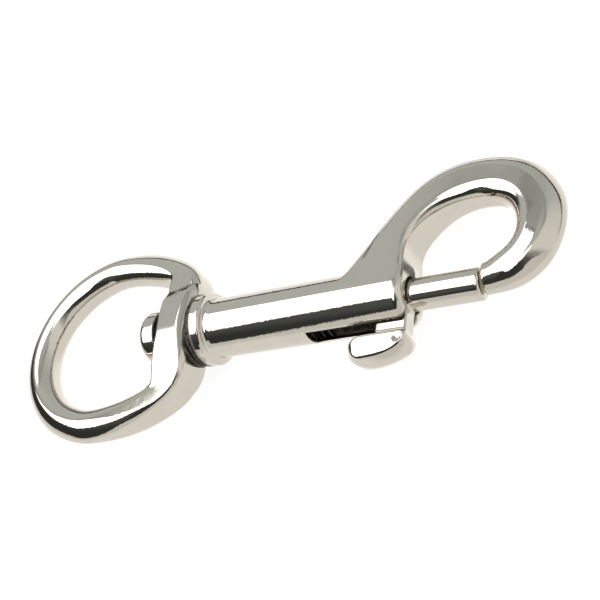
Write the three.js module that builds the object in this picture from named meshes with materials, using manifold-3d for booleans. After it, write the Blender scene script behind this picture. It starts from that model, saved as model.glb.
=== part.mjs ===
// Swivel-eye bolt snap: a nickel-plated die casting with a hook that is closed by a sprung bolt.
// Millimetres, +Z up. The snap lies flat, barrel along X with the hook at +X and to the +Y side.
import * as THREE from 'three';
import { mergeVertices } from 'three/addons/utils/BufferGeometryUtils.js';
import Module from 'manifold-3d';

// ---- driving dimensions: X is measured along the barrel from the middle of the collar ----
const BARREL_R = 5;
const BARREL_END = 37.6;
const MOUTH_ROUND = 1.4;
const COLLAR_R = 6.15;
const COLLAR_BACK = -1.25;
const COLLAR_FRONT = 1.9;
const COLLAR_BACK_ROUND = 0.9;
const COLLAR_FRONT_ROUND = 0.5;
const COVE_R = 0.7;

const BORE_R = 2.85;
const BORE_START = 2;
const SLOT_START = 20.2;
const SLOT_WIDTH = 3.5;
const RIVET_HOLE_R = 2.05;

const BOLT_R = 2.55;
const BOLT_BACK = 22.5;
const BOLT_TIP = 48.8;
const BOLT_TIP_CHAMFER = 0.5;
const STEM_BACK = 32.3;
const STEM_FRONT = 37.4;
const STEM_HALF = 1.5;
const GUSSET = 1.2;
const PAD_HALF = 2.4;
const PAD_EDGE = 0.5;

const SPRING_MEAN_R = 2.2;
const SPRING_WIRE_R = 0.25;
const SPRING_TURNS = 10;
const SPRING_GAP = 0.3;

const EYE_HOLE_R = 2.3;
const EYE_CENTRE_X = -20.7;
const EYE_OUTER = [19, 18.3];
const EYE_INNER = [13.1, 12.4];
const EYE_HALF = 2.95;
const EYE_EDGE = 2.85;
const RIVET_R = 1.95;
const RIVET_HEAD_R = 4.6;
const RIVET_HEAD_BACK = -11.8;
const RIVET_HEAD_FRONT = -8.6;
const RIVET_HEAD_ROUND = 1.3;
const RIVET_DOME = 0.35;
const RIVET_TAIL_R = 2.55;
const RIVET_TAIL = [2.15, 3.5];

// ---- mesh fineness ----
const ROUND_SEGMENTS = 48;
const SECTION_STEPS = 4;
const FULLEST_ROUND = 0.95;
const HOOK_STATIONS = 42;
const EYE_STATIONS = 72;
const SPRING_STEPS_PER_TURN = 12;
const WIRE_SIDES = 6;
const OVERCUT = 1;

// ---- hook: pairs of points on its outer and inner edge, from inside the barrel to the tip ----
// [outer x, outer y, inner x, inner y, half thickness, rounding of outer edge, rounding of inner edge]
const HOOK = [
  [25.0, 2.6, 37.3, 0.4, 4.2, 2.4, 0.8],
  [27.2, 5.0, 37.3, 3.4, 4.2, 2.4, 0.8],
  [29.7, 8.7, 37.25, 6.0, 4.0, 2.5, 0.9],
  [32.8, 13.1, 37.7, 8.7, 3.7, 2.6, 1.1],
  [36.1, 17.1, 40.0, 11.6, 3.5, 2.7, 1.4],
  [40.3, 20.4, 43.4, 13.6, 3.25, 2.7, 1.9],
  [46.2, 22.0, 47.1, 14.3, 3.05, 2.7, 2.2],
  [52.8, 21.2, 50.5, 13.8, 3.0, 2.7, 2.4],
  [57.9, 18.1, 52.8, 12.1, 3.0, 2.7, 2.5],
  [60.9, 12.9, 53.8, 9.6, 3.0, 2.8, 2.5],
  [61.0, 7.4, 53.7, 7.0, 3.0, 2.9, 2.5],
  [58.9, 2.3, 52.5, 5.0, 2.9, 2.7, 2.5],
  [55.0, -0.9, 50.9, 3.9, 2.8, 2.6, 2.5],
  [51.5, -1.75, 49.85, 3.35, 2.6, 2.5, 2.5],
  [49.5, -1.85, 49.5, 3.15, 2.55, 2.45, 2.45],
];
const HOOK_TIP_X = 49.1;
const HOOK_TIP_CHAMFER = 0.4;

// ---- eye: the same kind of pairs for the half of the bar and shoulder at +Y ----
const EYE_BAR = [
  [-1.6, 0, -8.3, 0, 4.4, 2.3, 0.7],
  [-1.6, 4.3, -8.3, 3.7, 4.25, 2.0, 0.7],
  [-1.7, 7.2, -8.3, 6.5, 3.2, 1.5, 0.7],
  [-2.5, 9.9, -8.3, 9.0, 3.0, 1.4, 0.8],
  [-4.8, 12.7, -9.0, 10.0, 2.95, 1.6, 1.4],
  [-9.2, 15.4, -11.7, 10.7, 2.95, 2.1, 2.4],
  [-14.6, 17.4, -15.7, 11.75, 2.95, 2.6, 2.7],
];
// Half thicknesses of the same rows on the -Y half, where the bar thins out more slowly.
const EYE_BAR_LOWER_HALF = [4.4, 4.4, 3.9, 3.35, 3.0, 2.95, 2.95];
// And the rounding of their outer edge, which is sharper there.
const EYE_BAR_LOWER_ROUND = [2.3, 1.6, 1.05, 0.85, 0.9, 1.25, 2.1];

// ---- thumb pad: outlines in XY at its middle and at its two sides ----
const PAD_MIDDLE = [
  [27.5, -8.5], [28.0, -7.1], [29.8, -6.6], [32.8, -6.6], [35.8, -6.6], [37.4, -6.8],
  [37.9, -7.9], [37.3, -9.4], [35.6, -10.5], [33.0, -11.15], [30.1, -10.95], [28.1, -9.9],
];
const PAD_SIDE = [
  [28.6, -8.3], [28.9, -7.3], [30.0, -6.7], [32.8, -6.6], [35.8, -6.6], [37.4, -6.9],
  [37.6, -7.6], [37.0, -8.6], [35.5, -9.5], [33.3, -10.2], [30.9, -10.5], [29.2, -10.0],
];
const PAD_OUTLINE_POINTS = 36;
const PAD_LAYERS = 5;

const wasm = await Module();
wasm.setup();

// ---- general helpers ----

function bufferGeometry(positions, triangles) {
  const geometry = new THREE.BufferGeometry();
  geometry.setAttribute('position', new THREE.Float32BufferAttribute(positions, 3));
  geometry.setIndex(triangles);
  return geometry;
}

function toSolid(geometry) {
  const plain = geometry.clone();
  plain.deleteAttribute('normal');
  plain.deleteAttribute('uv');
  const merged = mergeVertices(plain);
  const vertProperties = new Float32Array(merged.attributes.position.array);
  const triVerts = new Uint32Array(merged.index.array);
  return new wasm.Manifold(new wasm.Mesh({ numProp: 3, vertProperties, triVerts }));
}

function toGeometry(solid) {
  const mesh = solid.getMesh();
  return bufferGeometry(Array.from(mesh.vertProperties), Array.from(mesh.triVerts));
}

// Closes a list of equal rings into one skin; an open row of rings gets a fan at each end.
function skin(rings, closed) {
  const count = rings[0].length;
  const positions = rings.flat().flatMap((p) => [p.x, p.y, p.z]);
  const triangles = [];
  const spans = closed ? rings.length : rings.length - 1;
  for (let i = 0; i < spans; i += 1) {
    const here = i * count;
    const next = ((i + 1) % rings.length) * count;
    for (let j = 0; j < count; j += 1) {
      const k = (j + 1) % count;
      triangles.push(here + j, next + j, next + k);
      triangles.push(here + j, next + k, here + k);
    }
  }
  if (!closed) {
    addFan(positions, triangles, rings[0], 0, true);
    addFan(positions, triangles, rings.at(-1), (rings.length - 1) * count, false);
  }
  return bufferGeometry(positions, triangles);
}

function addFan(positions, triangles, ring, start, reversed) {
  const middle = new THREE.Vector3();
  ring.forEach((p) => middle.addScaledVector(p, 1 / ring.length));
  const hub = positions.length / 3;
  positions.push(middle.x, middle.y, middle.z);
  for (let j = 0; j < ring.length; j += 1) {
    const k = (j + 1) % ring.length;
    if (reversed) triangles.push(hub, start + j, start + k);
    else triangles.push(hub, start + k, start + j);
  }
}

// A solid of revolution about X from [x, radius] points that run along +X.
function turned(points) {
  const profile = points.map(([x, r]) => new THREE.Vector2(Math.max(r, 0), x));
  return new THREE.LatheGeometry(profile, ROUND_SEGMENTS).rotateZ(-Math.PI / 2);
}

function rod(xStart, xEnd, radius) {
  return turned([[xStart, 0], [xStart, radius], [xEnd, radius], [xEnd, 0]]);
}

// Points [x, r] of an arc about [cx, cr], from one angle to another, in degrees.
function arc(cx, cr, radius, from, to, steps = 6) {
  return Array.from({ length: steps + 1 }, (_, i) => {
    const angle = THREE.MathUtils.degToRad(from + ((to - from) * i) / steps);
    return [cx + radius * Math.cos(angle), cr + radius * Math.sin(angle)];
  });
}

function block(low, high) {
  const size = high.map((v, i) => v - low[i]);
  const geometry = new THREE.BoxGeometry(...size);
  return geometry.translate(...high.map((v, i) => (v + low[i]) / 2));
}

// ---- lofted bars: a flat bar with rounded edges between an outer and an inner edge line ----

// Outline of one cross-section as [across, up]: across is 0 at the inner edge, width at the outer.
function barSection(width, half, outerRound, innerRound) {
  const outerRise = Math.min(outerRound, half * FULLEST_ROUND);
  const innerRise = Math.min(innerRound, half * FULLEST_ROUND);
  const top = [];
  for (let i = 0; i <= SECTION_STEPS; i += 1) {
    const a = (Math.PI / 2) * (i / SECTION_STEPS);
    top.push([innerRound * (1 - Math.cos(a)), half - innerRise * (1 - Math.sin(a))]);
  }
  for (let i = 0; i <= SECTION_STEPS; i += 1) {
    const a = (Math.PI / 2) * (i / SECTION_STEPS);
    top.push([width - outerRound * (1 - Math.sin(a)), half - outerRise * (1 - Math.cos(a))]);
  }
  const bottom = top.map(([s, z]) => [s, -z]).reverse();
  return top.concat(bottom);
}

function barRing([ox, oy, ix, iy, half, outerRound, innerRound]) {
  const inner = new THREE.Vector3(ix, iy, 0);
  const across = new THREE.Vector3(ox, oy, 0).sub(inner);
  const width = across.length();
  across.normalize();
  const section = barSection(width, half, outerRound, innerRound);
  return section.map(([s, z]) => inner.clone().addScaledVector(across, s).setZ(z));
}

// Values of a table of stations at a place t from 0 to 1 along it, all columns on smooth curves.
function stationAt(table, t, closed) {
  const column = (a, b, c) => {
    const points = table.map((row) => new THREE.Vector3(row[a], row[b], c === undefined ? 0 : row[c]));
    return new THREE.CatmullRomCurve3(points, closed, 'catmullrom').getPoint(t);
  };
  const outer = column(0, 1);
  const inner = column(2, 3);
  const rest = column(4, 5, 6);
  return [outer.x, outer.y, inner.x, inner.y, rest.x, rest.y, rest.z];
}

// ---- the casting: barrel with collar, web and hook ----

function barrelBlank() {
  const backX = COLLAR_BACK + COLLAR_BACK_ROUND;
  const backArc = arc(backX, COLLAR_R - COLLAR_BACK_ROUND, COLLAR_BACK_ROUND, 180, 90);
  const frontX = COLLAR_FRONT - COLLAR_FRONT_ROUND;
  const frontArc = arc(frontX, COLLAR_R - COLLAR_FRONT_ROUND, COLLAR_FRONT_ROUND, 90, 0);
  const cove = arc(COLLAR_FRONT + COVE_R, BARREL_R + COVE_R, COVE_R, 180, 270);
  const mouth = arc(BARREL_END - MOUTH_ROUND, BARREL_R - MOUTH_ROUND, MOUTH_ROUND, 90, 0);
  return turned([[COLLAR_BACK, 0], ...backArc, ...frontArc, ...cove, ...mouth, [BARREL_END, 0]]);
}

function hookBlank() {
  const rings = [];
  for (let i = 0; i <= HOOK_STATIONS; i += 1) {
    rings.push(barRing(stationAt(HOOK, i / HOOK_STATIONS, false)));
  }
  const last = HOOK.at(-1);
  const tip = [HOOK_TIP_X, last[1] + HOOK_TIP_CHAMFER, HOOK_TIP_X, last[3] - HOOK_TIP_CHAMFER];
  rings.push(barRing([...tip, ...last.slice(4).map((v) => v - HOOK_TIP_CHAMFER)]));
  return skin(rings, false);
}

function slotCutter() {
  const half = SLOT_WIDTH / 2;
  return block([SLOT_START, -BARREL_R - OVERCUT, -half], [BARREL_END + OVERCUT, 0, half]);
}

function bodyGeometry() {
  const blank = toSolid(barrelBlank()).add(toSolid(hookBlank()));
  const bore = toSolid(rod(BORE_START, BARREL_END + OVERCUT, BORE_R));
  const rivetHole = toSolid(rod(COLLAR_BACK - OVERCUT, BORE_START + OVERCUT, RIVET_HOLE_R));
  return toGeometry(blank.subtract(bore).subtract(rivetHole).subtract(toSolid(slotCutter())));
}

// ---- the bolt: plunger, stem and boot-shaped thumb pad in one casting ----

function plungerBlank() {
  const chamfer = BOLT_TIP_CHAMFER;
  return turned([
    [BOLT_BACK, 0],
    [BOLT_BACK, BOLT_R - chamfer],
    [BOLT_BACK + chamfer, BOLT_R],
    [BOLT_TIP - chamfer, BOLT_R],
    [BOLT_TIP, BOLT_R - chamfer],
    [BOLT_TIP, 0],
  ]);
}

function stemBlank() {
  const padInside = (PAD_MIDDLE[3][1] + PAD_MIDDLE[9][1]) / 2;
  const outline = new THREE.Shape();
  outline.moveTo(STEM_BACK, 0);
  outline.lineTo(STEM_BACK, padInside);
  outline.lineTo(STEM_FRONT - GUSSET, padInside);
  outline.lineTo(STEM_FRONT, padInside + GUSSET);
  outline.lineTo(STEM_FRONT, -BOLT_R - GUSSET);
  outline.quadraticCurveTo(STEM_FRONT, -BOLT_R, STEM_FRONT + GUSSET, -BOLT_R);
  outline.lineTo(STEM_FRONT + GUSSET, 0);
  outline.closePath();
  const depth = 2 * STEM_HALF;
  return new THREE.ExtrudeGeometry(outline, { depth, bevelEnabled: false, curveSegments: 5 })
    .translate(0, 0, -STEM_HALF);
}

function padRing(z, bulge, inset) {
  const points = PAD_MIDDLE.map(([x, y], i) => {
    const [sx, sy] = PAD_SIDE[i];
    return new THREE.Vector3(sx + (x - sx) * bulge, sy + (y - sy) * bulge, 0);
  });
  const outline = new THREE.CatmullRomCurve3(points, true, 'catmullrom').getPoints(PAD_OUTLINE_POINTS);
  outline.pop();
  const middle = new THREE.Vector3();
  outline.forEach((p) => middle.addScaledVector(p, 1 / outline.length));
  return outline.map((p) => {
    const inward = middle.clone().sub(p).normalize();
    return p.clone().addScaledVector(inward, inset).setZ(z);
  });
}

function padBlank() {
  const side = PAD_HALF - PAD_EDGE;
  const rings = [padRing(-PAD_HALF, 0, PAD_EDGE)];
  for (let i = 0; i <= PAD_LAYERS; i += 1) {
    const across = -1 + (2 * i) / PAD_LAYERS;
    rings.push(padRing(side * across, 1 - across * across, 0));
  }
  rings.push(padRing(PAD_HALF, 0, PAD_EDGE));
  return skin(rings, false);
}

function boltGeometry() {
  return toGeometry(toSolid(plungerBlank()).add(toSolid(stemBlank())).add(toSolid(padBlank())));
}

// ---- coil spring between the rivet's tail and the back of the bolt ----

class Helix extends THREE.Curve {
  constructor(xStart, xEnd) {
    super();
    this.xStart = xStart;
    this.xEnd = xEnd;
  }

  getPoint(t, target = new THREE.Vector3()) {
    const angle = t * SPRING_TURNS * 2 * Math.PI;
    const x = this.xStart + (this.xEnd - this.xStart) * t;
    return target.set(x, SPRING_MEAN_R * Math.cos(angle), SPRING_MEAN_R * Math.sin(angle));
  }
}

function springGeometry() {
  const clear = SPRING_GAP + SPRING_WIRE_R;
  const path = new Helix(RIVET_TAIL[1] + clear, BOLT_BACK - clear);
  const wire = new THREE.Shape();
  wire.absarc(0, 0, SPRING_WIRE_R, 0, 2 * Math.PI);
  const steps = SPRING_TURNS * SPRING_STEPS_PER_TURN;
  const options = { steps, extrudePath: path, curveSegments: WIRE_SIDES, bevelEnabled: false };
  return new THREE.ExtrudeGeometry(wire, options);
}

// ---- swivel eye and its rivet ----

function eyeTable() {
  const [outerX, outerY] = EYE_OUTER;
  const [innerX, innerY] = EYE_INNER;
  const far = [];
  for (let degrees = 90; degrees <= 180; degrees += 15) {
    const a = THREE.MathUtils.degToRad(degrees);
    const outer = [EYE_CENTRE_X + outerX * Math.cos(a), outerY * Math.sin(a)];
    const inner = [EYE_CENTRE_X + innerX * Math.cos(a), innerY * Math.sin(a)];
    far.push([...outer, ...inner, EYE_HALF, EYE_EDGE, EYE_EDGE]);
  }
  const upper = EYE_BAR.concat(far);
  const mirrored = upper.map(([ox, oy, ix, iy, half, outerRound, innerRound], i) => {
    const lowerHalf = EYE_BAR_LOWER_HALF[i] ?? half;
    return [ox, -oy, ix, -iy, lowerHalf, EYE_BAR_LOWER_ROUND[i] ?? outerRound, innerRound];
  });
  return upper.concat(mirrored.slice(1, -1).reverse());
}

function eyeGeometry() {
  const table = eyeTable();
  const rings = [];
  for (let i = 0; i < EYE_STATIONS; i += 1) {
    rings.push(barRing(stationAt(table, i / EYE_STATIONS, true)).reverse());
  }
  const hole = rod(RIVET_HEAD_BACK, OVERCUT, EYE_HOLE_R);
  return toGeometry(toSolid(skin(rings, true)).subtract(toSolid(hole)));
}

function rivetGeometry() {
  const headX = RIVET_HEAD_BACK + RIVET_HEAD_ROUND;
  const dome = arc(headX, RIVET_HEAD_R - RIVET_HEAD_ROUND, RIVET_HEAD_ROUND, 180, 90);
  return turned([
    [RIVET_HEAD_BACK - RIVET_DOME, 0],
    ...dome,
    [RIVET_HEAD_FRONT, RIVET_HEAD_R],
    [RIVET_HEAD_FRONT, RIVET_R],
    [RIVET_TAIL[0], RIVET_R],
    [RIVET_TAIL[0], RIVET_TAIL_R],
    [RIVET_TAIL[1], RIVET_TAIL_R],
    [RIVET_TAIL[1], 0],
  ]);
}

// ---- assembly ----

function metal(color, roughness) {
  return new THREE.MeshStandardMaterial({ color, roughness, metalness: 1 });
}

function piece(name, geometry, material) {
  const mesh = new THREE.Mesh(geometry, material);
  mesh.name = name;
  return mesh;
}

const snap = new THREE.Group();
snap.add(piece('body', bodyGeometry(), metal(0xd2cfc8, 0.1)));
snap.add(piece('bolt', boltGeometry(), metal(0xd2cfc8, 0.12)));
snap.add(piece('spring', springGeometry(), metal(0x9a9a98, 0.35)));
snap.add(piece('eye', eyeGeometry(), metal(0xd2cfc8, 0.1)));
snap.add(piece('swivel_rivet', rivetGeometry(), metal(0xcfccc5, 0.15)));

// The origin is under the middle of the snap, on the surface that it lies on.
const box = new THREE.Box3().setFromObject(snap);
const middle = box.getCenter(new THREE.Vector3());
snap.position.set(-middle.x, -middle.y, -box.min.z);

export default snap;
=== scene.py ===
"""Swivel-eye bolt snap in polished nickel plate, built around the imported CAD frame."""

import math

import bpy
import numpy as np
from mathutils import Matrix, Vector


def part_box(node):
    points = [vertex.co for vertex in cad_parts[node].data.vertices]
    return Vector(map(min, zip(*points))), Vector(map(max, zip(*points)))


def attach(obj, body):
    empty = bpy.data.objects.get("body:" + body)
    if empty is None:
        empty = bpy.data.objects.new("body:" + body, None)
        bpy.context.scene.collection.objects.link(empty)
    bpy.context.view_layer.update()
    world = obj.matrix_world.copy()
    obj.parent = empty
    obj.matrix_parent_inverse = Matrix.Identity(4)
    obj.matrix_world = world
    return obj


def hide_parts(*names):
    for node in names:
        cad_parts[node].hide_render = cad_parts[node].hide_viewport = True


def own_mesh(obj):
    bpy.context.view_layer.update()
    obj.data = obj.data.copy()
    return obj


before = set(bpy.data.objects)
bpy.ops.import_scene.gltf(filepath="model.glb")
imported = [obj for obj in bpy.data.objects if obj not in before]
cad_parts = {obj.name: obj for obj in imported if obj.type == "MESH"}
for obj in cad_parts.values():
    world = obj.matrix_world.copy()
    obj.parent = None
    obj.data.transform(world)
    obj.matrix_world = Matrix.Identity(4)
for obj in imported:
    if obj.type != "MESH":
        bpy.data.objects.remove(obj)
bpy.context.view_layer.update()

MM = 0.001

# Shapes are worked out in millimetres about the barrel: X along it from the middle of the collar.
RIVET_TAIL_END = 3.5
_rivet_low, _rivet_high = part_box("swivel_rivet")
ORIGIN = np.array(
    [
        _rivet_high.x - RIVET_TAIL_END * MM,
        (_rivet_low.y + _rivet_high.y) / 2,
        (_rivet_low.z + _rivet_high.z) / 2,
    ]
)

# ---------------------------------------------------------------- dimensions, as in the CAD model
BARREL_R = 5.0
BARREL_END = 37.6
MOUTH_ROUND = 1.4
COLLAR_R = 6.15
COLLAR = (-1.25, 1.9)
COLLAR_ROUNDS = (0.9, 0.5)
COLLAR_FILLET = 1.3
BARREL_START_EDGE = 0.3
BORE_R = 2.85
BORE_START = 2.0
BORE_BREAK = 0.5
SLOT_START = 20.2
SLOT_HALF = 1.75
SLOT_BREAK = 0.3
SLOT_FLOOR_Y = 0.4
TEAR_START = 27
TEAR_DEPTH = 0.13
RIVET_HOLE_R = 2.05
HOOK_TIP_X = 49.1
HOOK_TIP_EDGE = 0.6
WEB_FILLET = 0.8

BOLT_R = 2.55
BOLT_X = (22.5, 48.8)
STEM_X = (32.3, 37.4)
STEM_HALF = 1.5
STEM_BOTTOM = -9.0
STEM_EDGE = 0.35
STEM_FILLET = 0.7
PAD_HALF = 2.4
PAD_FILLET = 0.9

SPRING_MEAN_R = 2.2
SPRING_WIRE_R = 0.25
SPRING_TURNS = 10
SPRING_X = (4.05, 21.95)
SPRING_CLOSED_TURNS = 0.9
SPRING_STEPS = 40
SPRING_SIDES = 12

EYE_HOLE_R = 2.3
EYE_CENTRE_X = -20.7
EYE_OUTER = (19.0, 18.3)
EYE_INNER = (13.1, 12.4)
EYE_HALF = 2.95
EYE_EDGE = 2.85
RIVET_R = 1.95
RIVET_HEAD_R = 4.6
RIVET_HEAD = (-11.8, -8.6)
RIVET_DOME = 0.35
RIVET_TAIL_R = 2.55
RIVET_TAIL_START = 2.15

# Stations along a bar that lies flat: outer x, outer y, inner x, inner y, half thickness,
# rounding of outer edge, rounding of inner edge. The hook runs from the web round to its tip.
HOOK = [
    (25.0, 2.6, 37.3, 0.4, 4.2, 2.4, 0.8),
    (27.2, 5.0, 37.3, 3.4, 4.2, 2.4, 0.8),
    (29.7, 8.7, 37.25, 6.0, 4.0, 2.5, 0.9),
    (32.8, 13.1, 37.7, 8.7, 3.7, 2.6, 1.1),
    (36.1, 17.1, 40.0, 11.6, 3.5, 2.7, 1.4),
    (40.3, 20.4, 43.4, 13.6, 3.25, 2.7, 1.9),
    (46.2, 22.0, 47.1, 14.3, 3.05, 2.7, 2.2),
    (52.8, 21.2, 50.5, 13.8, 3.0, 2.7, 2.4),
    (57.9, 18.1, 52.8, 12.1, 3.0, 2.7, 2.5),
    (60.9, 12.9, 53.8, 9.6, 3.0, 2.8, 2.5),
    (61.0, 7.4, 53.7, 7.0, 3.0, 2.9, 2.5),
    (58.9, 2.3, 52.5, 5.0, 2.9, 2.7, 2.5),
    (55.0, -0.9, 50.9, 3.9, 2.8, 2.6, 2.5),
    (51.5, -1.75, 49.85, 3.35, 2.6, 2.5, 2.5),
    (49.5, -1.85, 49.5, 3.15, 2.55, 2.45, 2.45),
]
# The eye from the middle of its bar to where the round part of its ring begins.
EYE_BAR = [
    (-1.6, 0, -8.3, 0, 3.0, 2.3, 0.7),
    (-1.6, 4.3, -8.3, 3.7, 3.0, 2.0, 0.7),
    (-1.7, 7.2, -8.3, 6.5, 3.0, 1.5, 0.7),
    (-2.5, 9.9, -8.3, 9.0, 3.0, 1.4, 0.8),
    (-4.8, 12.7, -9.0, 10.0, 2.95, 1.6, 1.4),
    (-9.2, 15.4, -11.7, 10.7, 2.95, 2.1, 2.4),
    (-14.6, 17.4, -15.7, 11.75, 2.95, 2.6, 2.7),
]
# How much tighter the outer edge of the bar is rounded on its -Y half, row by row.
LOWER_ROUNDS = (1, 0.8, 0.7, 0.6, 0.55, 0.6, 0.8)
# Outer edges are fuller than a circle's quarter: the power of their curve, where 2 is round.
OUTER_POWER = 1.6
# The bar swells round the rivet, is slightly crowned, and falls away in a facet and a shoulder.
BAR_HALF = 4.4
BAR_CROWN = 0.012
FACET_X = -8.3
FACET_Y = 4.6
FACET_HALF = 4.25
FACET_FALL = 0.55
FACET_LEAN = 0.117
SHOULDER_FALL = 0.2

# The thumb piece: its outline halfway through and at its two sides, how soon the one turns into
# the other, its small dimple (centre and radius), and the rounding of its rim.
PAD_MIDDLE = [
    (27.5, -8.5), (28.0, -7.1), (29.8, -6.6), (32.8, -6.6), (35.8, -6.6), (37.4, -6.8),
    (37.9, -7.9), (37.3, -9.4), (35.6, -10.5), (33.0, -11.15), (30.1, -10.95), (28.1, -9.9),
]
PAD_SIDE = [
    (28.6, -8.3), (28.9, -7.3), (30.0, -6.7), (32.8, -6.6), (35.8, -6.6), (37.4, -6.9),
    (37.6, -7.6), (37.0, -8.6), (35.5, -9.5), (33.3, -10.2), (30.9, -10.5), (29.2, -10.0),
]
PAD_FLANK = 0.8
PAD_DIMPLE = (36.6, -8.05, 3.75, 1.6)
PAD_RIM = 0.55


# ---------------------------------------------------------------- smooth curves through tables
class Spline:
    """A curve with continuous curvature through the rows of a table, one row per unit of t."""

    def __init__(self, rows, closed=False):
        self.rows = np.array(rows, float)
        self.closed = closed
        n = len(self.rows)
        a = np.zeros((n, n))
        b = np.zeros_like(self.rows)
        for i in range(n):
            if closed or 0 < i < n - 1:
                a[i, (i - 1) % n], a[i, i], a[i, (i + 1) % n] = 1, 4, 1
                b[i] = 6 * (
                    self.rows[(i - 1) % n] - 2 * self.rows[i] + self.rows[(i + 1) % n]
                )
            else:
                a[i, i] = 1
        self.bend = np.linalg.solve(a, b)
        self.length = n if closed else n - 1

    def _ends(self, t):
        if self.closed:
            t = np.mod(t, self.length)
            i = np.minimum(t.astype(int), self.length - 1)
            j = (i + 1) % self.length
        else:
            t = np.clip(t, 0, self.length)
            i = np.minimum(t.astype(int), self.length - 1)
            j = i + 1
        return i, j, (t - i)[..., None]

    def at(self, t):
        i, j, f = self._ends(t)
        g = 1 - f
        return (
            g * self.rows[i]
            + f * self.rows[j]
            + ((g**3 - g) * self.bend[i] + (f**3 - f) * self.bend[j]) / 6
        )

    def slope(self, t):
        i, j, f = self._ends(t)
        g = 1 - f
        return (
            self.rows[j]
            - self.rows[i]
            + ((1 - 3 * g**2) * self.bend[i] + (3 * f**2 - 1) * self.bend[j]) / 6
        )


def nearest(samples, x, y):
    """Index of the sample nearest to each point, and its distance."""
    best = np.full(x.shape, 1e9)
    found = np.zeros(x.shape, int)
    for k, (sx, sy) in enumerate(samples):
        d = (x - sx) ** 2 + (y - sy) ** 2
        m = d < best
        best[m] = d[m]
        found[m] = k
    return found, np.sqrt(best)


class Strip:
    """A bar that runs between an outer and an inner edge line, lying flat about z = 0."""

    STEPS = 12

    def __init__(self, table, closed):
        self.spline = Spline(table, closed)
        self.count = self.spline.length * self.STEPS + (0 if closed else 1)
        self.times = np.arange(self.count) / self.STEPS
        at = self.spline.at(self.times)
        self.middles = (at[:, 0:2] + at[:, 2:4]) / 2
        self.reach = np.hypot(at[:, 0] - at[:, 2], at[:, 1] - at[:, 3]) / 2

    def place(self, x, y):
        """For each point of the plane: t along the bar and the table's values there."""
        found, far = nearest(self.middles, x, y)
        t0 = self.times[found]
        t = t0.copy()
        for _ in range(5):
            at, slope = self.spline.at(t), self.spline.slope(t)
            dx, dy = at[..., 0] - at[..., 2], at[..., 1] - at[..., 3]
            px, py = x - at[..., 2], y - at[..., 3]
            g = dx * py - dy * px
            ddx, ddy = slope[..., 0] - slope[..., 2], slope[..., 1] - slope[..., 3]
            dg = ddx * py - ddy * px - dx * slope[..., 3] + dy * slope[..., 2]
            step = np.where(np.abs(dg) > 1e-6, g / np.where(dg == 0, 1, dg), 0)
            t = np.clip(t - np.clip(step, -0.4, 0.4), t0 - 0.9, t0 + 0.9)
            if not self.spline.closed:
                t = np.clip(t, 0, self.spline.length)
        return t, self.spline.at(t), far - self.reach[found]

    def solid(self, x, y, z, lift=0.0):
        shape = np.broadcast_shapes(x.shape, y.shape, z.shape)
        if x.ndim == 3:
            flat_x, flat_y = np.broadcast_to(x, shape)[:, :, 0], np.broadcast_to(y, shape)[:, :, 0]
            t, at, over = self.place(flat_x, flat_y)
            t, at, over = t[..., None], at[:, :, None, :], over[..., None]
        else:
            t, at, over = self.place(x, y)
        dx, dy = at[..., 0] - at[..., 2], at[..., 1] - at[..., 3]
        width = np.hypot(dx, dy)
        along = ((x - at[..., 2]) * dx + (y - at[..., 3]) * dy) / width
        half = width / 2
        u = along - half
        thick = np.maximum(at[..., 4], lift)
        d = section(u, z, half, thick, at[..., 5], at[..., 6])
        if not self.spline.closed:
            d = np.maximum(d, self.before_start(x, y))
        return np.where(over > 3.0, np.maximum(d, over), d), t

    def before_start(self, x, y):
        """How far a point lies behind the bar's first station."""
        ox, oy, ix, iy = self.spline.rows[0][:4]
        length = math.hypot(ox - ix, oy - iy)
        return ((y - iy) * (ox - ix) - (x - ix) * (oy - iy)) / length


def section(u, z, half, thick, outer_round, inner_round):
    """Distance to a rectangle with rounded corners, the rounding differing from side to side."""
    across = np.where(u > 0, outer_round, inner_round)
    rise = np.minimum(across, 0.97 * thick)
    power = np.where(u > 0, OUTER_POWER, 2.0)
    qx = (np.abs(u) - (half - across)) * rise / across
    qz = np.abs(z) - (thick - rise)
    px, pz = np.maximum(qx, 1e-9) ** power, np.maximum(qz, 1e-9) ** power
    return (px + pz) ** (1 / power) + np.minimum(np.maximum(qx, qz), 0) - rise


class Outline:
    """A closed outline in the plane, with the distance to it (negative inside)."""

    STEPS = 16

    def __init__(self, points):
        self.spline = Spline(points, True)
        self.times = np.arange(self.spline.length * self.STEPS) / self.STEPS
        self.samples = self.spline.at(self.times)
        x, y = self.samples[:, 0], self.samples[:, 1]
        self.turn = np.sign(np.sum(x * np.roll(y, -1) - y * np.roll(x, -1)))

    def distance(self, x, y):
        found, _ = nearest(self.samples, x, y)
        t0 = self.times[found]
        t = t0.copy()
        for _ in range(3):
            at, slope = self.spline.at(t), self.spline.slope(t)
            px, py = x - at[..., 0], y - at[..., 1]
            g = px * slope[..., 0] + py * slope[..., 1]
            t = np.clip(t + g / np.maximum((slope**2).sum(-1), 1e-6), t0 - 0.08, t0 + 0.08)
        at, slope = self.spline.at(t), self.spline.slope(t)
        px, py = x - at[..., 0], y - at[..., 1]
        side = slope[..., 0] * py - slope[..., 1] * px
        return -np.hypot(px, py) * np.sign(side) * self.turn


# ---------------------------------------------------------------- solids as distance functions
def join(a, b, k):
    """Union with a fillet of about k."""
    h = np.maximum(k - np.abs(a - b), 0) / k
    return np.minimum(a, b) - h**3 * k / 6


def cut(a, b, k):
    """a without b, its new edges rounded by about k."""
    return -join(-a, b, k)


def common(a, b, k):
    return -join(-a, -b, k)


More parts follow.
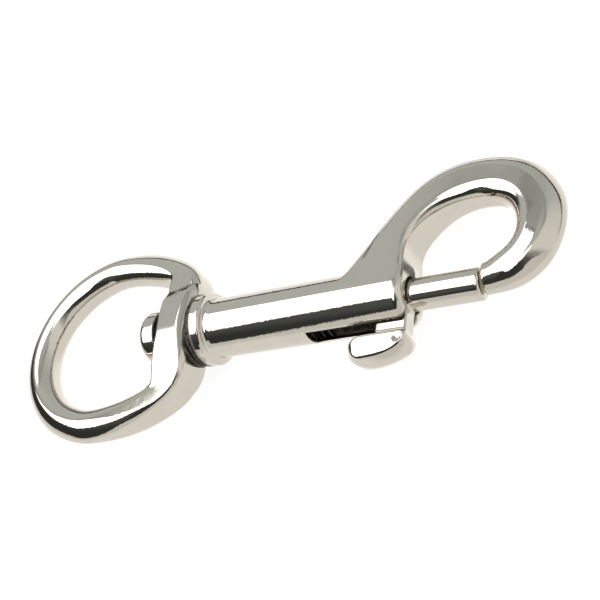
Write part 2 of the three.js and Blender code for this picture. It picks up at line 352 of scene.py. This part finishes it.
def disc(x, rho, x0, x1, radius, round0, round1):
    """A turned solid between x0 and x1, its two rims rounded."""
    middle, half = (x0 + x1) / 2, (x1 - x0) / 2
    r = np.where(x < middle, round0, round1)
    qx = np.abs(x - middle) - (half - r)
    qr = rho - (radius - r)
    return np.hypot(np.maximum(qx, 0), np.maximum(qr, 0)) + np.minimum(np.maximum(qx, qr), 0) - r


def block(x, y, z, low, high, r):
    q = [
        np.abs(v - (a + b) / 2) - ((b - a) / 2 - r)
        for v, a, b in zip((x, y, z), low, high)
    ]
    outside = np.sqrt(sum(np.maximum(v, 0) ** 2 for v in q))
    return outside + np.minimum(np.maximum(np.maximum(q[0], q[1]), q[2]), 0) - r


def body_shape():
    strip = Strip(HOOK, False)

    def field(x, y, z):
        rho = np.hypot(y, z)
        start = COLLAR[0] + BARREL_START_EDGE
        barrel = disc(x, rho, start, BARREL_END, BARREL_R, BARREL_START_EDGE, MOUTH_ROUND)
        collar = disc(x, rho, *COLLAR, COLLAR_R, *COLLAR_ROUNDS)
        turned = join(barrel, collar, COLLAR_FILLET)
        hook, t = strip.solid(x, y, z)
        tip = HOOK_TIP_X - x
        past = t > 0.7 * strip.spline.length
        hook = np.where(past, common(hook, tip, HOOK_TIP_EDGE), hook)
        solid = join(turned, hook, WEB_FILLET)
        bore = disc(x, rho, BORE_START, BARREL_END + 9, BORE_R, 0.2, 0.2)
        bore = np.where(x > BARREL_END + 3, 9.0, bore)
        solid = cut(solid, bore, BORE_BREAK)
        solid = cut(solid, disc(x, rho, -6, 6, RIVET_HOLE_R, 0.1, 0.1), 0.3)
        torn = 0.5 * np.sin(5.3 * x + 1) + 0.3 * np.sin(11.7 * x + 2 * y) + 0.3 * np.sin(17.9 * x)
        torn = TEAR_DEPTH * torn * np.clip((x - TEAR_START) / 2, 0, 1) * (z > 0)
        low = (SLOT_START, STEM_BOTTOM, -SLOT_HALF)
        high = (BARREL_END + 6, SLOT_FLOOR_Y, SLOT_HALF)
        slot = block(x, y, z + torn, low, high, 0.05)
        return cut(solid, slot, SLOT_BREAK)

    return field, (-2.2, -7.2, -6.5), (62.4, 23.4, 6.5)


def bolt_shape():
    middle, side = Outline(PAD_MIDDLE), Outline(PAD_SIDE)

    def field(x, y, z):
        rho = np.hypot(y, z)
        rod = disc(x, rho, *BOLT_X, BOLT_R, 0.4, 0.45)
        low = (STEM_X[0], STEM_BOTTOM, -STEM_HALF)
        stem = block(x, y, z, low, (STEM_X[1], 0, STEM_HALF), STEM_EDGE)
        if x.ndim == 3:
            shape = np.broadcast_shapes(x.shape, y.shape, z.shape)
            fx, fy = np.broadcast_to(x, shape)[:, :, 0], np.broadcast_to(y, shape)[:, :, 0]
            wide, narrow = middle.distance(fx, fy)[..., None], side.distance(fx, fy)[..., None]
        else:
            wide, narrow = middle.distance(x, y), side.distance(x, y)
        slant = (np.hypot(z, PAD_FLANK) - PAD_FLANK) / (math.hypot(PAD_HALF, PAD_FLANK) - PAD_FLANK)
        around = wide + (narrow - wide) * slant
        qa, qz = around + PAD_RIM, np.abs(z) - (PAD_HALF - PAD_RIM)
        pad = np.hypot(np.maximum(qa, 0), np.maximum(qz, 0)) - PAD_RIM
        pad = pad + np.minimum(np.maximum(qa, qz), 0)
        dx, dy, dz, r = PAD_DIMPLE
        solid = join(join(rod, stem, STEM_FILLET), pad, PAD_FILLET)
        return cut(solid, np.sqrt((x - dx) ** 2 + (y - dy) ** 2 + (z - dz) ** 2) - r, 0.05)

    return field, (21.8, -12.2, -3.2), (49.6, 3.2, 3.2)


def eye_table():
    """The eye's stations all the way round: bar, far bow, and the same mirrored."""
    far = []
    for degrees in range(90, 181, 15):
        c, s = math.cos(math.radians(degrees)), math.sin(math.radians(degrees))
        outer = (EYE_CENTRE_X + EYE_OUTER[0] * c, EYE_OUTER[1] * s)
        inner = (EYE_CENTRE_X + EYE_INNER[0] * c, EYE_INNER[1] * s)
        far.append((*outer, *inner, EYE_HALF, EYE_EDGE, EYE_EDGE))
    upper = EYE_BAR + far
    lower = [
        (ox, -oy, ix, -iy, half, outer * (LOWER_ROUNDS[i] if i < len(EYE_BAR) else 1), inner)
        for i, (ox, oy, ix, iy, half, outer, inner) in enumerate(upper)
    ]
    return upper + lower[-2:0:-1]


def eye_shape():
    strip = Strip(eye_table(), True)

    def field(x, y, z):
        rho = np.hypot(y, z)
        facet = FACET_HALF - FACET_FALL * (y - FACET_Y) + FACET_LEAN * (x - FACET_X)
        shoulder = BAR_HALF - SHOULDER_FALL * (-y - FACET_Y)
        lift = join(join(BAR_HALF - BAR_CROWN * y * y, facet, 0.25), shoulder, 0.8)
        lift = lift - 9 * (x < 2 * FACET_X)
        ring, _ = strip.solid(x, y, z, lift)
        return cut(ring, disc(x, rho, -12, 2, EYE_HOLE_R, 0.1, 0.1), 0.35)

    return field, (-40.6, -19.2, -5.2), (-0.8, 19.2, 5.2)


def rivet_shape():
    def field(x, y, z):
        rho = np.hypot(y, z)
        dome = RIVET_DOME * (1 - (rho / RIVET_HEAD_R) ** 2)
        head = disc(x + dome * (x < -9.5), rho, *RIVET_HEAD, RIVET_HEAD_R, 1.3, 0.25)
        shank = disc(x, rho, RIVET_HEAD[0] + 1, RIVET_TAIL_END - 0.3, RIVET_R, 0.1, 0.1)
        tail = disc(x, rho, RIVET_TAIL_START, RIVET_TAIL_END, RIVET_TAIL_R, 0.2, 0.45)
        return join(join(head, shank, 0.3), tail, 0.2)

    return field, (-13.2, -5.2, -5.2), (4.2, 5.2, 5.2)


# ---------------------------------------------------------------- distance function to mesh
CORNERS = [(i, j, k) for i in (0, 1) for j in (0, 1) for k in (0, 1)]
EDGES = [
    (a, b)
    for n, a in enumerate(CORNERS)
    for b in CORNERS[n + 1 :]
    if sum(abs(p - q) for p, q in zip(a, b)) == 1
]


def gradient(field, p, h=0.004):
    g = np.empty_like(p)
    for axis in range(3):
        a, b = p.copy(), p.copy()
        a[:, axis] += h
        b[:, axis] -= h
        g[:, axis] = (field(*a.T) - field(*b.T)) / (2 * h)
    return g


def mesh_points(field, low, high, pitch):
    """Vertices on the surface, their normals, and the faces, from a regular grid of the field."""
    axes = [np.arange(a, b + pitch, pitch) for a, b in zip(low, high)]
    x, y, z = axes[0][:, None, None], axes[1][None, :, None], axes[2][None, None, :]
    values = field(x, y, z)
    inside = values < 0
    cells = [n - 1 for n in values.shape]
    count = np.zeros(cells, np.int8)
    for i, j, k in CORNERS:
        count += inside[i : i + cells[0], j : j + cells[1], k : k + cells[2]]
    ijk = np.argwhere((count > 0) & (count < 8))
    index = np.full(cells, -1)
    index[tuple(ijk.T)] = np.arange(len(ijk))
    total, hits = np.zeros((len(ijk), 3)), np.zeros(len(ijk))
    for a, b in EDGES:
        va = values[tuple((ijk + a).T)]
        vb = values[tuple((ijk + b).T)]
        crossed = (va < 0) != (vb < 0)
        f = np.where(crossed, va / np.where(crossed, va - vb, 1), 0)[:, None]
        point = np.array(a) * (1 - f) + np.array(b) * f
        total += point * crossed[:, None]
        hits += crossed
    p = (ijk + total / hits[:, None]) * pitch + np.array([a[0] for a in axes])
    faces = []
    for axis in range(3):
        step = [0, 0, 0]
        step[axis] = 1
        n = [s - d for s, d in zip(inside.shape, step)]
        here = inside[: n[0], : n[1], : n[2]]
        there = inside[step[0] :, step[1] :, step[2] :]
        e = np.argwhere(here != there)
        flip = here[tuple(e.T)]
        u, v = [a for a in range(3) if a != axis]
        ring = []
        for du, dv in ((0, 0), (1, 0), (1, 1), (0, 1)):
            c = e.copy()
            c[:, u] -= du
            c[:, v] -= dv
            ring.append(index[tuple(c.T)])
        quad = np.stack(ring, 1)
        if axis != 1:
            flip = ~flip
        quad[flip] = quad[flip][:, ::-1]
        faces.append(quad)
    faces = np.concatenate(faces)
    for _ in range(4):
        g = gradient(field, p)
        size = np.maximum((g**2).sum(1), 0.05)
        step = (field(*p.T) / size)[:, None] * g
        long = np.maximum(np.abs(step).max(1, keepdims=True) / (0.6 * pitch), 1)
        p = p - step / long
    g = gradient(field, p)
    return p, g / np.maximum(np.linalg.norm(g, axis=1, keepdims=True), 1e-9), faces


def make_mesh(name, points, faces, normals=None):
    """An object from points in millimetres about the barrel."""
    mesh = bpy.data.meshes.new(name)
    mesh.vertices.add(len(points))
    mesh.vertices.foreach_set("co", (points * MM + ORIGIN).astype(np.float32).ravel())
    corners = faces.shape[1]
    mesh.loops.add(faces.size)
    mesh.loops.foreach_set("vertex_index", faces.astype(np.int32).ravel())
    mesh.polygons.add(len(faces))
    mesh.polygons.foreach_set("loop_start", np.arange(len(faces), dtype=np.int32) * corners)
    mesh.update(calc_edges=True)
    mesh.validate()
    mesh.shade_smooth()
    if normals is not None:
        mesh.normals_split_custom_set_from_vertices(normals.astype(np.float32))
    piece = bpy.data.objects.new(name, mesh)
    bpy.context.scene.collection.objects.link(piece)
    return piece


def ease(value, low, high):
    """A smooth step from 0 at low to 1 at high."""
    t = np.clip((value - low) / (high - low), 0, 1)
    return t * t * (3 - 2 * t)


def carve(name, shape, pitch, painted_shade):
    """A piece meshed from its distance function, with its painted shade stored at each vertex."""
    field, low, high = shape
    points, normals, faces = mesh_points(field, low, high, pitch)
    piece = make_mesh(name, points, faces, normals)
    layer = piece.data.attributes.new("painted_shade", "FLOAT", "POINT")
    layer.data.foreach_set("value", painted_shade(*points.T).astype(np.float32))
    return piece


# ---------------------------------------------------------------- where the metal is dark
# Painted shade in the bore, the slot, corners, under the rivet's head and between parts, and a
# painted dark reflection line along the web, each from 0 for none to 1 for black.
LIP_PAINTED_SHADE = 0.85
CREVICE = (37.6, 3.6)
CREVICE_SIZE = (0.55, 1.9)
CREVICE_TOP = 4.1
EDGE_INSET = 1.2
EDGE_INSET_AT_ROOT = 1.5


def slot_lip_painted_shade(x, y, z):
    """Painted shade on the slot's wall at its torn lip, near the barrel's mouth."""
    near = ease(-np.abs(z - SLOT_HALF - 0.15), -0.5, -0.2)
    lip = near * ease(x, 27.5, 29.5) * ease(-y, 2.0, 3.0)
    return lip * (x < BARREL_END + 0.5) * LIP_PAINTED_SHADE


def crevice_painted_shade(x, y, z):
    """Painted shade in the corner between the barrel's mouth and the hook."""
    dx, dy = (x - CREVICE[0]) / CREVICE_SIZE[0], (y - CREVICE[1]) / CREVICE_SIZE[1]
    return ease(-np.hypot(dx, dy), -1.0, -0.4) * (z > 0) * (z < CREVICE_TOP) * 0.9


def web_edge_painted_reflection(x, y, z):
    """A painted dark reflection line along the outer edge of the web, set further in where the web
    meets the barrel.
    """
    t, at, _ = Strip(HOOK, False).place(x, y)
    dx, dy = at[:, 0] - at[:, 2], at[:, 1] - at[:, 3]
    inward = ((at[:, 0] - x) * dx + (at[:, 1] - y) * dy) / np.hypot(dx, dy)
    line = EDGE_INSET + EDGE_INSET_AT_ROOT * ease(-t, -3.0, -1.3)
    edge = ease(-np.abs(inward - line), -0.32, -0.1) * (z > 0.3 * at[:, 4])
    return edge * ease(t, 1.1, 1.4) * ease(-t, -9.5, -5.0) * 0.9


def body_painted_shade(x, y, z):
    """Painted shade on the face of the collar and in the bore, with the painted shade and
    reflection marks above.
    """
    rho = np.hypot(y, z)
    collar = ease(-x, -0.35, 0.0)
    bore = 0.85 * ease(-rho, -BORE_R - 0.35, -BORE_R - 0.1) * (x < BARREL_END + 0.5)
    rest = [part(x, y, z) for part in (slot_lip_painted_shade, crevice_painted_shade, web_edge_painted_reflection)]
    return np.maximum.reduce([collar, bore, *rest])


def bolt_painted_shade(x, y, z):
    """Painted shade on the rod behind its stem, which never leaves the barrel."""
    rho = np.hypot(y, z)
    return ease(-x, -STEM_X[0] + 0.15, -STEM_X[0] + 0.4) * (rho < BOLT_R + 0.1)


def eye_painted_shade(x, y, z):
    """Painted shade in the rivet's hole and on the face that turns against the collar."""
    rho = np.hypot(y, z)
    hole = ease(-rho, -EYE_HOLE_R - 0.4, -EYE_HOLE_R) * (x > 2 * FACET_X)
    return np.maximum(hole, ease(-rho, -6.4, -5.4) * ease(x, -2.6, -2.1))


def pin_painted_shade(x, y, z):
    """Painted shade on the underside of the rivet's head."""
    rho = np.hypot(y, z)
    return ease(x, RIVET_HEAD[1] - 0.15, RIVET_HEAD[1]) * (rho < RIVET_HEAD_R + 1)


def spring_mesh(name):
    """An open helix whose first and last turns lie closed."""
    steps, sides = SPRING_TURNS * SPRING_STEPS, SPRING_SIDES
    t = np.linspace(0, 1, steps + 1)
    closed = SPRING_CLOSED_TURNS / SPRING_TURNS
    ramp = np.clip((t - closed) / (1 - 2 * closed), 0, 1)
    ramp = ramp * 0.9 + 0.1 * (ramp * ramp * (3 - 2 * ramp))
    ends = 2 * SPRING_WIRE_R
    open_length = SPRING_X[1] - SPRING_X[0] - 2 * ends
    x = SPRING_X[0] + ends * np.clip(t / closed, 0, 1)
    x += open_length * ramp + ends * np.clip((t - 1 + closed) / closed, 0, 1)
    a = t * SPRING_TURNS * 2 * math.pi
    path = np.stack([x, SPRING_MEAN_R * np.cos(a), SPRING_MEAN_R * np.sin(a)], 1)
    tangent = np.gradient(path, axis=0)
    tangent /= np.linalg.norm(tangent, axis=1, keepdims=True)
    out = np.stack([np.zeros_like(a), np.cos(a), np.sin(a)], 1)
    side = np.cross(tangent, out)
    phi = np.arange(sides) * 2 * math.pi / sides
    rings = path[:, None] + SPRING_WIRE_R * (
        np.cos(phi)[None, :, None] * out[:, None] + np.sin(phi)[None, :, None] * side[:, None]
    )
    points = np.concatenate([rings.reshape(-1, 3), path[:1], path[-1:]])
    faces = []
    for i in range(steps):
        for j in range(sides):
            k = (j + 1) % sides
            faces.append((i * sides + j, i * sides + k, (i + 1) * sides + k))
            faces.append((i * sides + j, (i + 1) * sides + k, (i + 1) * sides + j))
    hub = (steps + 1) * sides
    for j in range(sides):
        k = (j + 1) % sides
        faces.append((hub, k, j))
        faces.append((hub + 1, steps * sides + j, steps * sides + k))
    return make_mesh(name, points, np.array(faces))


# ---------------------------------------------------------------- node helpers
class Nodes:
    """A little shorthand for building a node tree."""

    def __init__(self, tree):
        self.tree = tree
        self.tree.nodes.clear()

    def add(self, kind, inputs=None, **settings):
        node = self.tree.nodes.new(kind)
        for key, value in settings.items():
            setattr(node, key, value)
        for key, value in (inputs or {}).items():
            self.feed(node.inputs[key], value)
        return node

    def feed(self, socket, value):
        if isinstance(value, bpy.types.NodeSocket):
            self.tree.links.new(value, socket)
        else:
            socket.default_value = value

    def math(self, operation, *values, clamp=False):
        node = self.add("ShaderNodeMath", operation=operation, use_clamp=clamp)
        for socket, value in zip(node.inputs, values):
            self.feed(socket, value)
        return node.outputs[0]

    def vector(self, operation, *values):
        node = self.add("ShaderNodeVectorMath", operation=operation)
        for socket, value in zip(node.inputs, values):
            self.feed(socket, value)
        return node.outputs["Vector"]

    def ramp(self, value, low, high, to_low=0.0, to_high=1.0, smooth=True):
        kind = "SMOOTHSTEP" if smooth else "LINEAR"
        node = self.add("ShaderNodeMapRange", interpolation_type=kind)
        for key, v in (
            ("Value", value),
            ("From Min", low),
            ("From Max", high),
            ("To Min", to_low),
            ("To Max", to_high),
        ):
            self.feed(node.inputs[key], v)
        return node.outputs["Result"]

    def mix(self, factor, a, b):
        node = self.add("ShaderNodeMix", data_type="RGBA")
        self.feed(node.inputs[0], factor)
        self.feed(node.inputs[6], a)
        self.feed(node.inputs[7], b)
        return node.outputs[2]

    def blend(self, factor, a, b):
        """From a number a at factor 0 to b at factor 1."""
        rest = self.math("SUBTRACT", 1.0, factor)
        return self.math("ADD", self.math("MULTIPLY", rest, a), self.math("MULTIPLY", factor, b))

    def least(self, *values):
        found = values[0]
        for value in values[1:]:
            found = self.math("MINIMUM", found, value)
        return found

    def grey(self, value):
        node = self.add("ShaderNodeCombineXYZ")
        for socket in node.inputs:
            self.feed(socket, value)
        return node.outputs[0]

    def curve(self, bearing, points, low, high):
        """A value by compass bearing, straight between the points, all from low to high."""
        node = self.add("ShaderNodeFloatCurve")
        self.feed(node.inputs["Value"], self.ramp(bearing, -180.0, 180.0, smooth=False))
        line = node.mapping.curves[0]
        for _ in range(len(points) - 2):
            line.points.new(0.5, 0.5)
        for point, (x, y) in zip(line.points, points):
            point.location = ((x + 180) / 360, (y - low) / (high - low))
            point.handle_type = "VECTOR"
        node.mapping.update()
        return self.math("ADD", self.math("MULTIPLY", node.outputs[0], high - low), low)

    def noise(self, vector, scale, detail=2.0, roughness=0.5):
        return self.add(
            "ShaderNodeTexNoise",
            {"Vector": vector, "Scale": scale, "Detail": detail, "Roughness": roughness},
        ).outputs["Fac"]


def rgb(r, g, b):
    return (r, g, b, 1.0)


# ---------------------------------------------------------------- materials
CLOUD_SCALE = 260.0
SMEAR_SCALE = 2600.0
WAVE_SCALE = 420.0
PIT_SCALE = 1900.0
# The painted shade's mottle scale and its two near-black colours.
SHADE_MOTTLE_SCALE = 1500.0
LIGHT_SHADE_COLOUR = (0.04, 0.032, 0.025)
DARK_SHADE_COLOUR = (0.02, 0.018, 0.016)


def nickel(name, colour, gloss, ripple):
    """Bright plate: faint clouds in colour and gloss, a fine ripple, and painted shade by
    attribute.
    """
    material = bpy.data.materials.new(name)
    material.use_nodes = True
    n = Nodes(material.node_tree)
    out = n.add("ShaderNodeOutputMaterial")
    place = n.add("ShaderNodeTexCoord").outputs["Object"]
    facing = n.add("ShaderNodeTexCoord").outputs["Normal"]
    cloud = n.noise(place, CLOUD_SCALE, 3.0)
    smear = n.math("MULTIPLY", n.noise(place, SMEAR_SCALE, 2.0), gloss * 0.5)
    colour_out = n.mix(n.ramp(cloud, 0.35, 0.7), rgb(*colour), rgb(*[c * 0.965 for c in colour]))
    rough = n.math("ADD", n.ramp(cloud, 0.3, 0.75, gloss, gloss * 1.7), smear)
    tilt = n.add("ShaderNodeSeparateXYZ", {"Vector": facing}).outputs[2]
    flat = n.ramp(n.math("ABSOLUTE", tilt), 0.9, 0.99, 1.0, 0.06)
    marks = n.math("MULTIPLY", n.noise(place, PIT_SCALE, 3.0), flat)
    wave = n.math("ADD", n.math("MULTIPLY", n.noise(place, WAVE_SCALE, 2.0), 0.5), marks)
    bump = n.add("ShaderNodeBump", {"Height": wave, "Strength": 1.0, "Distance": ripple})
    # Painted shade: where the attribute says, the colour goes to a mottled near-black and the metal
    # turns dull and less metallic.
    painted_dark = n.add("ShaderNodeAttribute", attribute_name="painted_shade").outputs["Fac"]
    patchy = n.ramp(n.noise(place, SHADE_MOTTLE_SCALE, 3.0, 0.6), 0.3, 0.62)
    thinning = n.math("ADD", n.math("MULTIPLY", patchy, 0.1), 0.9)
    painted_dark = n.math("MULTIPLY", painted_dark, thinning, clamp=True)
    shade_colour = n.mix(patchy, rgb(*LIGHT_SHADE_COLOUR), rgb(*DARK_SHADE_COLOUR))
    colour_out = n.mix(painted_dark, colour_out, shade_colour)
    rough = n.math("ADD", rough, n.math("MULTIPLY", painted_dark, 0.35))
    shine = n.math("SUBTRACT", 1.0, n.math("MULTIPLY", painted_dark, 0.9))
    shader = n.add(
        "ShaderNodeBsdfPrincipled",
        {
            "Base Color": colour_out,
            "Roughness": rough,
            "Normal": bump.outputs[0],
            "Metallic": shine,
            "Specular IOR Level": 0.12,
        },
    )
    n.feed(out.inputs["Surface"], shader.outputs[0])
    return material


# ---------------------------------------------------------------- the pieces
def dress(piece, material, slot, body, *nodes):
    """Give a piece its material, the body it rides on and the CAD nodes it stands for."""
    piece.data.materials.append(material)
    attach(piece, body)
    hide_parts(*nodes)
    return piece


# How far apart the meshes' points are, in mm.
PITCH = 0.21
FINE = PITCH * 0.75
NICKEL = (0.655, 0.615, 0.545)
plate = nickel("nickel_plate", NICKEL, 0.035, 0.000011)
bright = nickel("bright_nickel", NICKEL, 0.03, 0.000004)
pin = nickel("pin_steel", (0.64, 0.60, 0.54), 0.05, 0.000004)
wire = nickel("spring_wire", (0.16, 0.15, 0.14), 0.3, 0.000003)

# Each piece with its painted shade, which darkens it in recesses, corners, under heads and between
# parts.
PIECES = [
    ("snap_body", body_shape, PITCH, body_painted_shade, plate, "nickel_plate", "casting", "body"),
    ("spring_bolt", bolt_shape, FINE, bolt_painted_shade, bright, "nickel_plate", "plunger", "bolt"),
    ("swivel_eye", eye_shape, PITCH, eye_painted_shade, plate, "nickel_plate", "swivel", "eye"),
    ("eye_pin", rivet_shape, FINE, pin_painted_shade, pin, "rivet_steel", "casting", "swivel_rivet"),
]
for name, shape, pitch, painted_shade, metal, slot, rides, node in PIECES:
    dress(carve(name, shape(), pitch, painted_shade), metal, slot, rides, node)

spring = dress(spring_mesh("return_spring"), wire, "spring_steel", "casting", "spring")
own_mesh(spring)


# ---------------------------------------------------------------- floor, studio and camera
FLOOR_SIZE = 4.0
FLOOR_GLOW = 0.9
FLOOR_GREY = 0.2


def make_floor():
    """White paper that lights itself, with enough grey in it to take a faint shadow."""
    size = FLOOR_SIZE
    mesh = bpy.data.meshes.new("floor")
    mesh.from_pydata(
        [(-size, -size, 0), (size, -size, 0), (size, size, 0), (-size, size, 0)], [], [(0, 1, 2, 3)]
    )
    floor = bpy.data.objects.new("floor", mesh)
    bpy.context.scene.collection.objects.link(floor)
    material = bpy.data.materials.new("floor_paper")
    material.use_nodes = True
    n = Nodes(material.node_tree)
    out = n.add("ShaderNodeOutputMaterial")
    glow = n.add("ShaderNodeEmission", {"Color": rgb(1, 1, 1), "Strength": FLOOR_GLOW})
    paper = n.add("ShaderNodeBsdfDiffuse", {"Color": rgb(FLOOR_GREY, FLOOR_GREY, FLOOR_GREY)})
    both = n.add("ShaderNodeAddShader")
    n.feed(both.inputs[0], glow.outputs[0])
    n.feed(both.inputs[1], paper.outputs[0])
    n.feed(out.inputs["Surface"], both.outputs[0])
    mesh.materials.append(material)
    floor.visible_glossy = False


# The studio by compass bearing, in degrees from +X towards +Y: where each thing starts and ends
# above the horizon, and how bright the walls are in between.
TABLE_TOP = [
    (-180, -3), (-155, 2), (-140, -2), (-128, 0), (-125, 2), (-122, 4), (-120, 8), (-118, 13),
    (-116, 18), (-112, 21), (-90, 21), (-75, 25), (-62, 30), (-50, 38), (-38, 38), (-25, 22),
    (-12, -6), (0, -16), (30, -8), (60, 0), (118, 0), (124, 2), (150, 2), (158, 0), (180, -3),
]
BOX_BOTTOM = [
    (-180, 30), (-155, 31), (-143, 36), (-139.5, 43), (-137.5, 52), (-134, 58), (-112, 57),
    (-99, 51), (-85, 53), (-76, 60), (-60, 66), (-30, 72), (0, 75), (60, 75), (85, 73), (100, 66),
    (110, 58), (117, 54), (121, 51.5), (125, 49.6), (128, 49), (131, 48.5), (134, 47.6),
    (137, 46.6), (140, 45.6), (143, 44.6), (150, 44.2), (153, 43), (158, 34), (166, 31), (180, 30),
]
WALL = [
    (-180, 0.04), (-112, 0.045), (-75, 0.045), (-58, 0.06), (-42, 0.14), (-28, 0.4), (-14, 0.92),
    (20, 0.85), (42, 0.65), (70, 0.54), (100, 0.59), (126, 0.63), (146, 0.61), (150, 0.47),
    (156, 0.05), (180, 0.04),
]
SHEET = [(-180, 0.97), (-140, 0.97), (40, 0.97), (70, 1.08), (160, 1.08), (180, 0.97)]
GAP = [(-180, 0.0), (0, 0.0), (40, 1.0), (150, 1.0), (170, 0.0), (180, 0.0)]
GAP_LEVEL = 0.06
BOX_LEVEL = 3.0
# The card: bearing of its two slanting edges per degree above the horizon, and at the horizon.
CARD_RISE = (1.7, 30.7)
CARD_FALL = (0.9, 168.7)
CARD_START = 30.0
CARD_BOTTOM = 48.8
CARD_TOP = 86.0
CARD_LEVELS = (0.43, 0.58)
SLIT_LEVEL = 0.05
FAR_WALL_TOP = 0.8
DARK_SIDE_GLOW = 0.055
WARM_LIGHT = (1.0, 0.985, 0.965)
COOL_LIGHT = (0.965, 1.02, 1.005)
DARK_TINT = (0.93, 1.03, 1.0)


def make_walls(n, up, bearing, above_table, box_bottom):
    """Brightness of the walls, with a dark gap over the far edge of the table, and the soft box."""
    near_far = n.ramp(bearing, 20, 50)
    far_wall = n.math("MULTIPLY", near_far, n.ramp(bearing, 146, 156, 1.0, 0.0))
    wall = n.curve(bearing, WALL, 0, 2)
    shade = n.math("MULTIPLY", far_wall, n.ramp(up, 46.0, 49.5))
    wall = n.math("MULTIPLY", wall, n.blend(shade, 1.0, FAR_WALL_TOP))
    dark_side = n.ramp(n.math("ABSOLUTE", bearing), 112.0, 118.0)
    dark_side = n.math("MULTIPLY", dark_side, n.math("SUBTRACT", 1.0, far_wall))
    glow = n.math("MULTIPLY", dark_side, n.ramp(up, 18.0, 44.0, 0.0, DARK_SIDE_GLOW))
    wall = n.math("ADD", wall, glow)
    gap = n.ramp(above_table, 5.5, 7.5, 1.0, 0.0)
    gap = n.math("MULTIPLY", gap, n.curve(bearing, GAP, 0, 1))
    wall = n.math("MULTIPLY", wall, n.blend(gap, 1.0, GAP_LEVEL))
    above_box = n.math("SUBTRACT", up, box_bottom)
    return far_wall, n.blend(n.ramp(above_box, -0.7, 0.7), wall, BOX_LEVEL)


def hang_card(n, up, bearing, towards, level):
    """A grey card beside the soft box, slightly crumpled, with a dark slit along its near edges."""
    rising = n.math("ADD", n.math("MULTIPLY", up, CARD_RISE[0]), CARD_RISE[1])
    falling = n.math("SUBTRACT", CARD_FALL[1], n.math("MULTIPLY", up, CARD_FALL[0]))
    crumple = n.math("SUBTRACT", n.noise(towards, 45.0, 2.0), 0.5)
    crumple = n.math("MULTIPLY", crumple, 1.8)
    slanted = n.math("SUBTRACT", n.least(rising, falling), bearing)
    card = n.least(
        n.math("ADD", slanted, crumple),
        n.math("SUBTRACT", up, CARD_BOTTOM),
        n.math("SUBTRACT", bearing, CARD_START),
        n.math("SUBTRACT", CARD_TOP, up),
    )
    width = n.ramp(up, 49.4, 52.0, 0.25, 0.9, smooth=False)
    slit = n.ramp(n.math("ADD", card, width), 0.0, 0.15)
    slit = n.math("MULTIPLY", slit, n.ramp(up, 49.0, 49.5))
    level = n.blend(slit, level, SLIT_LEVEL)
    return n.blend(n.ramp(card, 0.0, 0.15), level, n.ramp(up, 51.0, 68.0, *CARD_LEVELS))


def make_studio():
    """A pale table below, a grey backdrop behind, a soft box above and a dark room in front."""
    world = bpy.data.worlds.new("studio")
    bpy.context.scene.world = world
    world.use_nodes = True
    n = Nodes(world.node_tree)
    out = n.add("ShaderNodeOutputWorld")
    towards = n.add("ShaderNodeTexCoord").outputs["Generated"]
    x, y, z = n.add("ShaderNodeSeparateXYZ", {"Vector": towards}).outputs
    degrees = 180 / math.pi
    up = n.math("MULTIPLY", n.math("ARCSINE", z), degrees)
    bearing = n.math("MULTIPLY", n.math("ARCTAN2", y, x), degrees)
    above_table = n.math("SUBTRACT", up, n.curve(bearing, TABLE_TOP, -90, 90))
    box_bottom = n.curve(bearing, BOX_BOTTOM, -90, 90)
    far_wall, level = make_walls(n, up, bearing, above_table, box_bottom)
    level = hang_card(n, up, bearing, towards, level)
    near_sheet = n.ramp(up, -16.0, -2.0, 1.0, 0.8)
    far_sheet = n.ramp(up, -26.0, -8.0, 1.13, 1.0)
    sheet = n.curve(bearing, SHEET, 0, 2)
    sheet = n.math("MULTIPLY", sheet, n.blend(far_wall, near_sheet, far_sheet))
    level = n.blend(n.ramp(above_table, -1.2, 0.0, 1.0, 0.0), level, sheet)
    cool = n.math("MULTIPLY", far_wall, n.ramp(above_table, 0.0, 2.0))
    tint = n.mix(cool, rgb(*WARM_LIGHT), rgb(*COOL_LIGHT))
    tint = n.mix(n.ramp(level, 0.05, 0.2, 1.0, 0.0), tint, rgb(*DARK_TINT))
    seen = n.add("ShaderNodeLightPath").outputs["Is Camera Ray"]
    light = n.vector("MULTIPLY", n.grey(level), tint)
    colour = n.mix(seen, light, rgb(1, 1, 1))
    background = n.add("ShaderNodeBackground", {"Color": colour, "Strength": 1.0})
    n.feed(out.inputs["Surface"], background.outputs[0])


LENS = 63.23
CAMERA_AT = (100.37, -78.02, 124.36)
CAMERA_RIGHT = (0.859, 0.115, -0.499)
CAMERA_BACK = (0.48853, -0.47522, 0.73178)


def make_camera():
    camera = bpy.data.cameras.new("camera")
    camera.sensor_width = 36.0
    camera.lens = LENS
    camera.clip_start = 0.01
    camera.clip_end = 20.0
    holder = bpy.data.objects.new("camera", camera)
    bpy.context.scene.collection.objects.link(holder)
    right = Vector(CAMERA_RIGHT).normalized()
    back = Vector(CAMERA_BACK).normalized()
    up = back.cross(right).normalized()
    right = up.cross(back)
    matrix = Matrix((right, up, back)).transposed().to_4x4()
    spot = ORIGIN + np.array(CAMERA_AT) * MM
    matrix.translation = Vector([float(v) for v in spot])
    holder.matrix_world = matrix
    bpy.context.scene.camera = holder


make_floor()
make_studio()
make_camera()
view = bpy.context.scene.view_settings
view.view_transform = "Standard"
view.look = "None"
view.exposure = 0.0
view.gamma = 1.0
